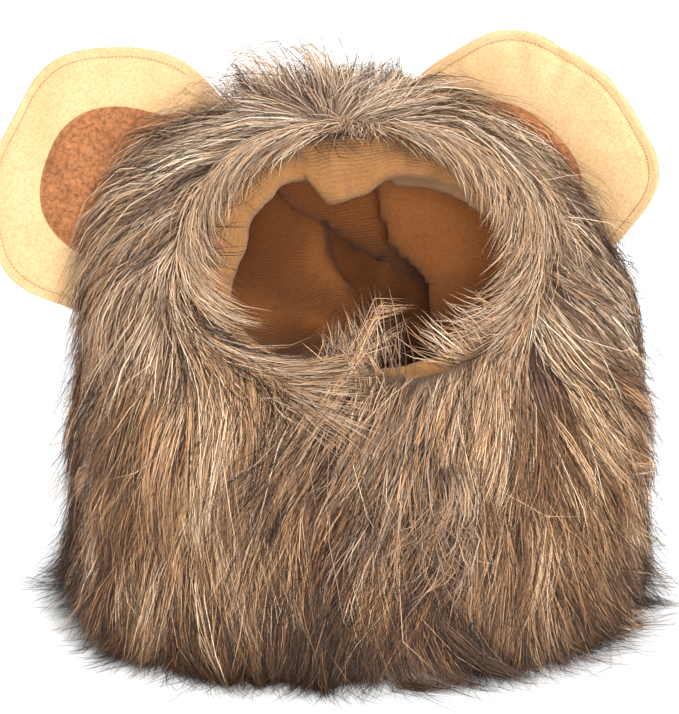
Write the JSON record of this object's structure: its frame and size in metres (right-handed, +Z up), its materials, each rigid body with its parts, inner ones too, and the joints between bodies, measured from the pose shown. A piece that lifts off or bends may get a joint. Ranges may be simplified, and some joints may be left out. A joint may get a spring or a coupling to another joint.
{
  "type": "pet lion mane wig",
  "caption": "Shaggy lion mane hood for a cat or small dog, with an open face, a plush lining, round plush ears and a lapped chin closure.",
  "frame": {"origin": "centre of the whole object's box, on the surface that the mane stands on", "axes": "+Z up through the crown, -Y out through the face opening, +X to the right seen from the front"},
  "size_m": [0.2934, 0.2464, 0.2602],
  "materials": {
    "fur": "long shaggy faux fur, grey-brown roots, golden middle, dark tips",
    "lining": "short tan plush with fine ribs",
    "ear": "short pale yellow-tan plush, lightly stuffed",
    "inner_ear": "brown curly fleece",
    "closure_strip": "hook-and-loop strip, hidden under the chin flap"
  },
  "bodies": {
    "root": {"mane_left": "fur", "mane_right": "fur", "lining": "lining", "closure_strip": "closure_strip", "ear_left": "ear", "ear_right": "ear", "inner_ear_left": "inner_ear", "inner_ear_right": "inner_ear"}
  },
  "joints": []
}
